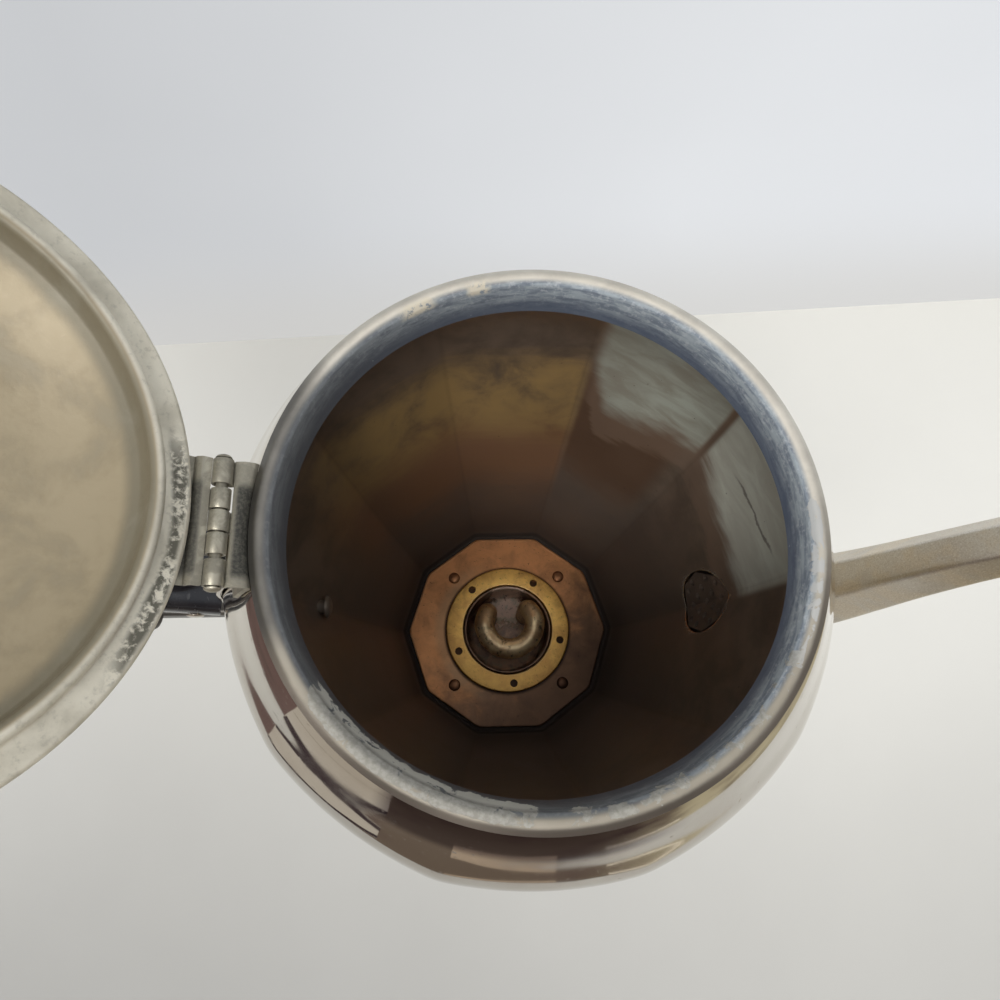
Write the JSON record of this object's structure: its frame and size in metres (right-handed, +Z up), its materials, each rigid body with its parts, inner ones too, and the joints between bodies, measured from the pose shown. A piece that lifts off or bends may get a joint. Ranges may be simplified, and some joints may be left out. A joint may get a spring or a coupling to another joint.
{
  "type": "coffee percolator",
  "caption": "Electric coffee percolator: a panelled metal pot on a flared heated base, with a hinged lid, a glass knob, a side handle and a swan-neck spout.",
  "frame": {"origin": "on the pot's axis at the level of the table, below the centre of the bottom plate", "axes": "+Z up along the pot's axis, +X towards the spout, -X towards the hinge and handle; the hinge's axis lies along Y"},
  "size_m": [0.2826, 0.144, 0.2751],
  "materials": {
    "nickel": "polished nickel plate with a warm, slightly hazed shine",
    "tarnished_nickel": "blue-grey tarnished nickel with pale mineral deposits",
    "bronzed_nickel": "dark brown coffee stain over old nickel, glossy",
    "copper": "heat-darkened copper, satin",
    "brass": "worn brass, satin",
    "heater_sheath": "brown heat-stained metal sheath with golden highlights",
    "steel": "plain steel",
    "black_phenolic": "glossy black",
    "ceramic": "matt off-white ceramic",
    "rubber": "matt black",
    "glass": "clear pressed glass"
  },
  "bodies": {
    "pot": {"pot_shell": "nickel", "rim_collar": "tarnished_nickel", "spout": "nickel", "spout_strainer": "bronzed_nickel", "floor_plate": "copper", "floor_rivet_1": "copper", "floor_rivet_2": "copper", "floor_rivet_3": "copper", "floor_rivet_4": "copper", "ring_nut": "brass", "well_gasket": "rubber", "heater_well": "copper", "heater_loop": "heater_sheath", "heater_gland_1": "brass", "heater_gland_2": "brass", "heater_stud_1": "steel", "heater_stud_2": "steel", "terminal_tag_1": "brass", "terminal_tag_2": "brass", "base_skirt": "nickel", "bottom_plate": "steel", "plate_post_1": "steel", "plate_post_2": "steel", "plate_screw_1": "steel", "plate_screw_2": "steel", "inlet_shroud": "nickel", "inlet_block": "ceramic", "plug_pin_1": "brass", "plug_pin_2": "brass", "lead_near": "rubber", "lead_fuse": "rubber", "lead_far": "rubber", "thermal_fuse": "ceramic", "handle_grip": "black_phenolic", "handle_upper_bracket": "nickel", "handle_lower_bracket": "nickel", "handle_upper_pin": "nickel", "handle_lower_pin": "nickel", "lug_rivet": "bronzed_nickel", "hinge_body_leaf": "tarnished_nickel", "hinge_pin": "steel"},
    "lid": {"lid_shell": "nickel", "hinge_lid_leaf": "tarnished_nickel", "knob_collar": "nickel", "knob_glass": "glass", "knob_spring_ring": "steel"}
  },
  "joints": [
    {"name": "lid_hinge", "type": "hinge", "parent": "pot", "child": "lid", "pos_m": [-0.0618, 0, 0.19885], "axis": [0, 1, 0], "range_deg": [0, 140]}
  ]
}
